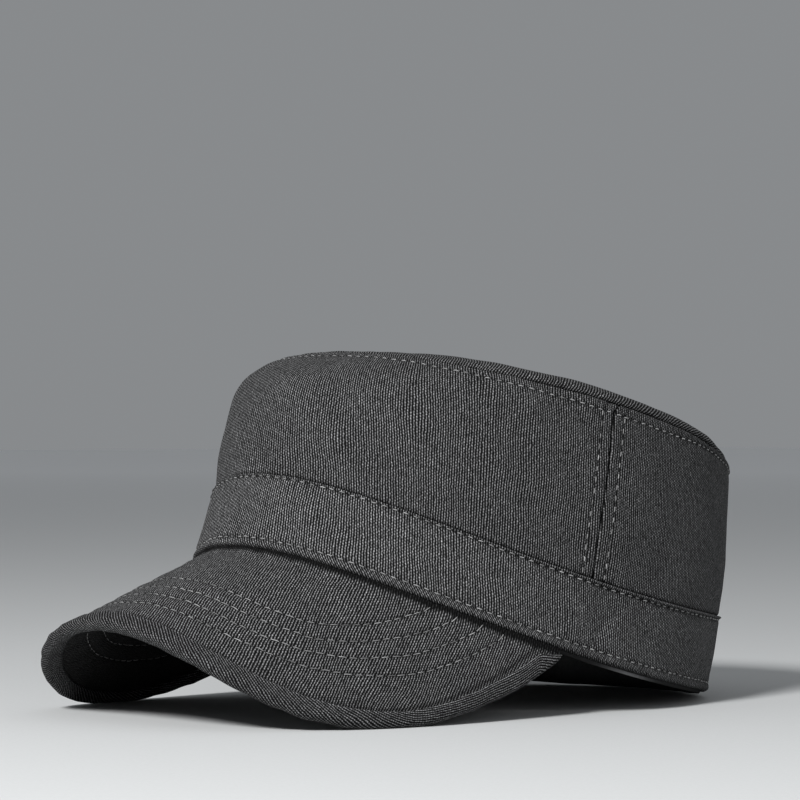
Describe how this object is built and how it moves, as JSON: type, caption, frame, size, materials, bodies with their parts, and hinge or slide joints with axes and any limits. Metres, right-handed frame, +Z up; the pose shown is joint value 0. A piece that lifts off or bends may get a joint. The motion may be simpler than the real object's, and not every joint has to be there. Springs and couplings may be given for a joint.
{
  "type": "patrol cap",
  "caption": "Soft cloth patrol cap with a flat oval crown, a wide band and a curved, bound peak. Hollow inside for a head, it rests on its peak and the back of its band.",
  "frame": {"origin": "on the surface the cap rests on, under the middle of its overall box", "axes": "+Z up, -Y towards the peak, +X towards the wearer's left"},
  "size_m": [0.1708, 0.278, 0.1287],
  "materials": {
    "crown_twill": "matte ribbed cotton twill, charcoal",
    "band_twill": "matte ribbed cotton twill, charcoal",
    "peak_twill": "matte ribbed cotton twill, charcoal, with rows of stitching",
    "binding_twill": "matte cotton twill cut on the bias, charcoal",
    "sweatband_cloth": "smooth matte cotton tape, dark grey",
    "thread": "slightly glossy sewing thread, grey"
  },
  "bodies": {
    "root": {"crown_top": "crown_twill", "crown_front": "crown_twill", "crown_back": "crown_twill", "band": "band_twill", "sweatband": "sweatband_cloth", "peak_upper": "peak_twill", "peak_lower": "peak_twill", "peak_edge": "binding_twill"}
  },
  "joints": []
}
